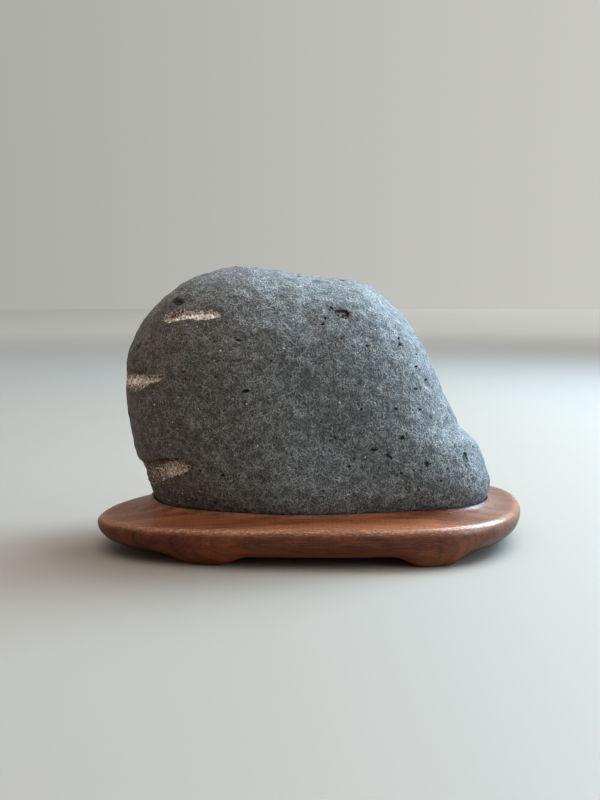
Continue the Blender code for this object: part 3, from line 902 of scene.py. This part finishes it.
# A twenty-sided body, which each crystal distorts in its own way.
GOLD = (1.0 + math.sqrt(5.0)) / 2.0
TWENTY_POINTS = [
    (-1, GOLD, 0), (1, GOLD, 0), (-1, -GOLD, 0), (1, -GOLD, 0), (0, -1, GOLD),
    (0, 1, GOLD), (0, -1, -GOLD), (0, 1, -GOLD), (GOLD, 0, -1), (GOLD, 0, 1),
    (-GOLD, 0, -1), (-GOLD, 0, 1),
]
TWENTY_FACETS = [
    (0, 11, 5), (0, 5, 1), (0, 1, 7), (0, 7, 10), (0, 10, 11), (1, 5, 9), (5, 11, 4),
    (11, 10, 2), (10, 7, 6), (7, 1, 8), (3, 9, 4), (3, 4, 2), (3, 2, 6), (3, 6, 8),
    (3, 8, 9), (4, 9, 5), (2, 4, 11), (6, 2, 10), (8, 6, 7), (9, 8, 1),
]


def make_crystals(points, faces, field, pale, shade):
    """Angular crystals: crowded in the chips and bedded singly over the stone."""
    pick = np.random.default_rng(CRYSTAL_SEED)
    where, out, glow, size = crystal_places(points, faces, field, pale, shade, pick)
    single = front_places(SPECKS)
    loose = stretched(pick.normal(size=(LOOSE_CRYSTALS, 3)))
    loose = loose[loose[:, 2] > -0.45]
    body = np.concatenate([single, stone_surface(loose)])
    up = outward(body)
    rise = slow_relief(body * 1000.0) * MM
    body = body + up * rise[:, None]
    tiny = 0.16 + 0.14 * pick.random(len(body))
    tiny[:len(single)] = 0.31
    where = np.concatenate([where, body])
    out = np.concatenate([out, up])
    tone = np.concatenate([0.06 + glow * (0.25 + 0.95 * pick.random(len(glow))),
                           0.3 + 0.45 * pick.random(len(body))])
    size = np.concatenate([size, tiny])
    base = np.array(TWENTY_POINTS) / np.linalg.norm(TWENTY_POINTS[0])
    count = len(where)
    shape = base[None] * (1.0 + 0.22 * pick.normal(size=(count, 12, 1)))
    shape = shape * (0.62 + 0.76 * pick.random((count, 1, 3)))
    shape = np.einsum("nij,nkj->nki", random_turns(pick, count), shape)
    centre = where - out * (size * 0.15 * MM)[:, None]
    verts = centre[:, None] + shape * (size * MM)[:, None, None]
    tris = [tuple(12 * n + k for k in f) for n in range(count) for f in TWENTY_FACETS]
    item = mesh_object("chip_crystals", verts.reshape(-1, 3), tris, crystal_material(),
                       tone=np.repeat(tone, 12))
    item.data.polygons.foreach_set("use_smooth", [False] * len(tris))
    return item


# ------------ stand shape
def closed_curve(controls, per_span):
    """A smooth closed curve through the control points."""
    dense = []
    count = len(controls)
    for i in range(count):
        p0, p1, p2, p3 = (np.array(controls[(i + k - 1) % count]) for k in range(4))
        for step in range(per_span):
            t = step / per_span
            a = 2.0 * p1 + (p2 - p0) * t
            b = (2.0 * p0 - 5.0 * p1 + 4.0 * p2 - p3) * t * t
            c = (3.0 * p1 - p0 - 3.0 * p2 + p3) * t ** 3
            dense.append(0.5 * (a + b + c))
    return np.array(dense)


def outline_at(angles):
    """The stand's outline at the given angles, and the directions inwards."""
    dense = closed_curve(STAND_OUTLINE, 24)
    dense = dense - 0.5 * (dense.max(axis=0) + dense.min(axis=0))
    around = np.mod(np.arctan2(dense[:, 1], dense[:, 0]), 2.0 * math.pi)
    order = np.argsort(around)
    key = around[order]
    ring = dense[order]
    want = np.mod(angles, 2.0 * math.pi)
    x = np.interp(want, key, ring[:, 0], period=2.0 * math.pi)
    y = np.interp(want, key, ring[:, 1], period=2.0 * math.pi)
    points = np.stack([x, y], axis=1)
    along = np.roll(points, -2, axis=0) - np.roll(points, 2, axis=0)
    inward = np.stack([-along[:, 1], along[:, 0]], axis=1)
    return points, unit(inward)


def foot_weight(angles):
    """One over a sole and zero between the feet, and how upright the face is there."""
    weight = np.zeros(len(angles))
    upright = np.zeros(len(angles))
    degrees = (np.degrees(angles) + 180.0) % 360.0 - 180.0
    for start, sole_start, sole_end, end, steep in FEET:
        rise = smooth_step(degrees, start - FOOT_EASE, sole_start + FOOT_EASE)
        fall = 1.0 - smooth_step(degrees, sole_end - FOOT_EASE, end + FOOT_EASE)
        weight = np.maximum(weight, rise * fall)
        upright = np.maximum(upright, rise * fall * steep)
    return weight, upright


def seat_direction(angles, tilt):
    """Directions to the seat: round the stone, and tilted up from its lowest point."""
    raw = np.stack([np.sin(tilt) * np.cos(angles), np.sin(tilt) * np.sin(angles),
                    -np.cos(tilt) * np.ones(len(angles))], axis=1)
    return stretched(raw)


def seat_points(angles, tilt, gap=SEAT_GAP):
    """The stone's own surface, moved out by the gap."""
    step = 0.002
    here = stone_surface(seat_direction(angles, tilt))
    up = stone_surface(seat_direction(angles, tilt + step))
    side = stone_surface(seat_direction(angles + step, tilt))
    normal = unit(np.cross(side - here, up - here))
    flip = np.where(np.sum(normal * (here - STONE_CENTRE), axis=1) < 0.0, -1.0, 1.0)
    return here + normal * flip[:, None] * gap


def seat_rings(angles):
    """Rings from the seat's floor up to the lip, which rises at the rear left."""
    rise = np.clip(np.cos(angles - math.radians(168.0)), 0.0, 1.0) ** 3
    target = LIP_HEIGHT + LIP_RISE * rise
    low = np.full(len(angles), 0.35)
    high = np.full(len(angles), 1.75)
    for _ in range(34):
        mid = 0.5 * (low + high)
        below = seat_points(angles, mid)[:, 2] < target
        low = np.where(below, mid, low)
        high = np.where(below, high, mid)
    rings = []
    for k in range(1, SEAT_RINGS + 1):
        share = (k / SEAT_RINGS) ** 0.8
        gap = FLOOR_GAP + (SEAT_GAP - FLOOR_GAP) * share ** 4
        rings.append(seat_points(angles, low * share, gap))
    return rings


def ridge_height(angles):
    nose = np.clip(np.cos(angles - math.radians(188.0)), 0.0, 1.0) ** 4
    return RIDGE_HEIGHT - NOSE_DROP * nose


def top_rings(angles, lip, outline, inward):
    ridge = ridge_height(angles)
    radial = outline + inward * 0.0046 - lip[:, :2]
    span = np.linalg.norm(radial, axis=1)[:, None]
    edge = lip.copy()
    edge[:, :2] += radial / span * 0.0002
    edge[:, 2] += 0.00018
    shoulder = lip.copy()
    shoulder[:, :2] += radial / span * 0.0009
    shoulder[:, 2] += 0.00022
    rings = [edge, shoulder]
    for share, fall in ((0.16, 0.34), (0.4, 0.66), (0.7, 0.88), (1.0, 1.0)):
        plan = lip[:, :2] + radial * share
        level = lip[:, 2] + (ridge - lip[:, 2]) * fall
        rings.append(np.column_stack([plan, level]))
    return rings


def rim_rings(angles, outline, inward):
    ridge = ridge_height(angles)
    rings = []
    for inset, share in ((0.0024, 0.94), (0.0009, 0.72), (0.0001, 0.4), (-0.0001, 0.0)):
        plan = outline + inward * inset
        level = WIDEST_HEIGHT + (ridge - WIDEST_HEIGHT) * share
        rings.append(np.column_stack([plan, level]))
    return rings


def under_rings(angles, outline, inward):
    foot, upright = foot_weight(angles)
    tuck = TUCK_SIDE + (TUCK_END - TUCK_SIDE) * np.abs(np.cos(angles)) ** 2.5
    u = UNDERSIDE
    # share of the tuck, fixed inset, height between the feet, height at a sole
    rows = (
        (0.1, 0.0, 0.0093, 0.009),
        (0.4, 0.0, 0.0068, 0.006),
        (0.76, 0.0002, 0.005, 0.0029),
        (0.95, 0.0007, 0.0045, 0.0013),
        (1.0, 0.0014, u, 0.0004),
        (1.0, 0.0028, u, 0.0),
        (1.0, 0.008, u, 0.0),
        (1.0, 0.0022 + SOLE_DEPTH, u, 0.0),
        (1.0, 0.0026 + SOLE_DEPTH, u, 0.0002),
        (1.0, 0.0032 + SOLE_DEPTH, u, 0.0012),
        (1.0, 0.0075 + SOLE_DEPTH, u, u),
    )
    rings = []
    for share, fixed, between, sole in rows:
        inset = tuck * share * (1.0 - upright) + fixed
        plan = outline + inward * inset[:, None]
        level = between + (sole - between) * foot
        rings.append(np.column_stack([plan, level]))
    middle = rings[-1].copy()
    middle[:, :2] *= 0.45
    rings.append(middle)
    return rings


def spline_rings(rings, steps):
    """Rings on smooth profiles that pass through every given ring."""
    stack = np.array([2.0 * rings[0] - rings[1]] + rings + [2.0 * rings[-1] - rings[-2]])
    gaps = np.sqrt(np.linalg.norm(np.diff(stack, axis=0), axis=2))
    gaps = np.maximum(gaps, 1e-4)[:, :, None]
    made = []
    for k in range(1, len(stack) - 2):
        p0, p1, p2, p3 = stack[k - 1:k + 3]
        g0, g1, g2 = gaps[k - 1:k + 2]
        m1 = (p2 - p1) + g1 * ((p1 - p0) / g0 - (p2 - p0) / (g0 + g1))
        m2 = (p2 - p1) + g1 * ((p3 - p2) / g2 - (p3 - p1) / (g1 + g2))
        for step in range(steps):
            t = step / steps
            made.append((2 * t ** 3 - 3 * t ** 2 + 1) * p1
                        + (t ** 3 - 2 * t ** 2 + t) * m1
                        + (3 * t ** 2 - 2 * t ** 3) * p2 + (t ** 3 - t ** 2) * m2)
    made.append(rings[-1])
    return made


def make_stand():
    angles = np.linspace(0.0, 2.0 * math.pi, STAND_STEPS, endpoint=False)
    outline, inward = outline_at(angles)
    seat = seat_rings(angles)
    top = top_rings(angles, seat[-1], outline, inward)
    rim = rim_rings(angles, outline, inward)
    under = under_rings(angles, outline, inward)
    rings = spline_rings(seat + top + rim + under, RING_STEPS)
    count = len(angles)
    points = np.concatenate(rings)
    # slight unevenness of hand carving, none in the seat or on the soles
    mm = points * 1000.0
    carve = value_noise(mm / np.array([34.0, 22.0, 12.0]), 21) * 0.16
    carve += value_noise(mm / 9.0, 22) * 0.05
    seat_end = len(seat) * RING_STEPS * count
    weight = smooth_step(mm[:, 2], 1.0, 6.0)
    weight[:seat_end] = 0.0
    points[:, 2] += carve * weight * MM
    points[:, 2] = np.maximum(points[:, 2], 0.0)
    floor = np.array([0.0, 0.0, seat[0][:, 2].min() - 0.0001])
    floor[:2] = seat[0][:, :2].mean(axis=0)
    points = np.concatenate([points, [floor], [[0.0, 0.0, UNDERSIDE]]])
    top_pole, low_pole = len(points) - 2, len(points) - 1
    last = (len(rings) - 1) * count
    steps = [(i, (i + 1) % count) for i in range(count)]
    faces = [(row + i, row + count + i, row + count + j, row + j)
             for row in range(0, last, count) for i, j in steps]
    for i, j in steps:
        faces += [(top_pole, i, j), (low_pole, last + j, last + i)]
    # attributes: the rim's painted highlight, and painted shade on the sides and by the
    # stone
    ring_no = np.repeat(np.arange(len(rings)) / RING_STEPS, count)
    ridge_at = len(seat) + len(top) + 0.5
    edge = np.exp(-((ring_no - ridge_at) / 1.1) ** 2)
    low = np.exp(-((ring_no - len(seat)) / 1.0) ** 2) + (ring_no < len(seat) - 1)
    flank = smooth_step(ring_no, ridge_at - 0.5, ridge_at + 2.5)
    return mesh_object("walnut_stand_carved", points, faces, walnut_material(),
                       edge=np.append(edge, [0.0, 0.0]),
                       flank=np.append(flank, [0.0, 1.0]),
                       low=np.append(np.clip(low, 0, 1), [1.0, 0.0]))


# ------------ stage
FLOOR_REACH = 12.0
# Each light: name, watts, colour, size, place, and the height on the axis it aims at.
LIGHTS = [
    ("window_high", 38.0, (0.66, 0.84, 1.0), (1.0, 1.0), (0.66, 0.48, 1.06), 0.06),
    ("window_low", 17.0, (0.44, 0.74, 1.0), (0.5, 0.5), (0.8, 0.4, 0.64), 0.05),
    ("side_fill", 7.0, (0.64, 0.84, 1.0), (0.6, 0.4), (0.92, -0.34, 0.36), 0.04),
    ("ceiling", 8.4, (1.0, 0.97, 0.93), (1.2, 1.2), (-0.2, -0.12, 1.3), 0.05),
]
CAMERA_PLACE = (-0.007, -0.45925, 0.11)
CAMERA_DOWN = 5.7               # degrees
CAMERA_LENS = 30.0              # millimetres, on a sensor 24 mm high


def floor_material():
    """Matt pale board, painted paler away from the middle where the lamps' light falls
    off.
    """
    s = Shader("floor")
    away = s.vector("LENGTH", s.place, out=1)
    tone = s.noise(s.place, 0.004)
    shade = s.mix(s.fit(away, 250.0, 1600.0), (0.27, 0.225, 0.183), (0.36, 0.345, 0.318))
    shade = s.mix(s.mul(tone, 0.06), shade, (0.25, 0.23, 0.21))
    height = s.mul(s.noise(s.place, 1.2), 0.02)
    # painted light: the far board glows with the wall's own brightness, so that no band
    # shows there
    level = s.fit(s.axis(s.place, 0), -2500.0, 2500.0, 0.2, 0.4)
    s.put(s.surface, "Emission Strength", s.mul(level, s.fit(away, 600.0, 3500.0)))
    return s.finish(shade, s.fit(tone, 0.3, 0.7, 0.6, 0.65), height,
                    Emission_Color=(0.97, 1.0, 0.96, 1.0))


def make_floor():
    corners = np.array([(-1, -1, 0), (1, -1, 0), (1, 1, 0), (-1, 1, 0)]) * FLOOR_REACH
    mesh_object("floor", corners, [(0, 1, 2, 3)], floor_material())


def area_light(name, power, colour, size, place, aim_height):
    data = bpy.data.lights.new(name, "AREA")
    data.shape = "RECTANGLE"
    data.size, data.size_y = size
    data.energy = power
    data.color = colour
    item = bpy.data.objects.new(name, data)
    item.location = place
    aim = Vector((0.0, 0.0, aim_height)) - Vector(place)
    item.rotation_euler = aim.to_track_quat("-Z", "Y").to_euler()
    bpy.context.scene.collection.objects.link(item)


def make_world():
    """A soft room, brighter and cooler on the right, dim and warm left and in front."""
    world = bpy.data.worlds.new("room")
    world.use_nodes = True
    n = Nodes(world.node_tree)
    back = n.tree.nodes["Background"]
    place = n.new("TexCoord").outputs["Generated"]
    x, y, z = (n.axis(place, k) for k in range(3))
    far = n.mix(n.fit(x, -0.45, 0.45), (0.4, 0.4, 0.375), (0.6, 0.595, 0.56))
    side = n.fit(x, -0.8, 0.8)
    low = n.mix(side, (0.18, 0.147, 0.115), (0.315, 0.308, 0.298))
    high = n.mix(side, (0.35, 0.308, 0.258), (0.5, 0.495, 0.495))
    near = n.mix(n.fit(z, 0.0, 0.65), low, high)
    n.put(back, "Color", n.mix(n.fit(y, -0.35, 0.55), near, far))
    n.put(back, "Strength", 1.0)
    bpy.context.scene.world = world


def make_camera():
    data = bpy.data.cameras.new("camera")
    data.sensor_fit = "VERTICAL"
    data.sensor_height = 24.0
    data.lens = CAMERA_LENS
    data.clip_start = 0.01
    item = bpy.data.objects.new("camera", data)
    item.location = CAMERA_PLACE
    item.rotation_euler = (math.radians(90.0 - CAMERA_DOWN), 0.0, 0.0)
    bpy.context.scene.collection.objects.link(item)
    bpy.context.scene.camera = item


stone, *stone_data = make_stone()
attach(stone, "root")
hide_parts("basalt_stone")

crystals = make_crystals(*stone_data)
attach(crystals, "root")

stand = make_stand()
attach(stand, "root")
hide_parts("walnut_stand")

make_floor()
for light in LIGHTS:
    area_light(*light)
make_world()
make_camera()
bpy.context.scene.view_settings.view_transform = "Standard"
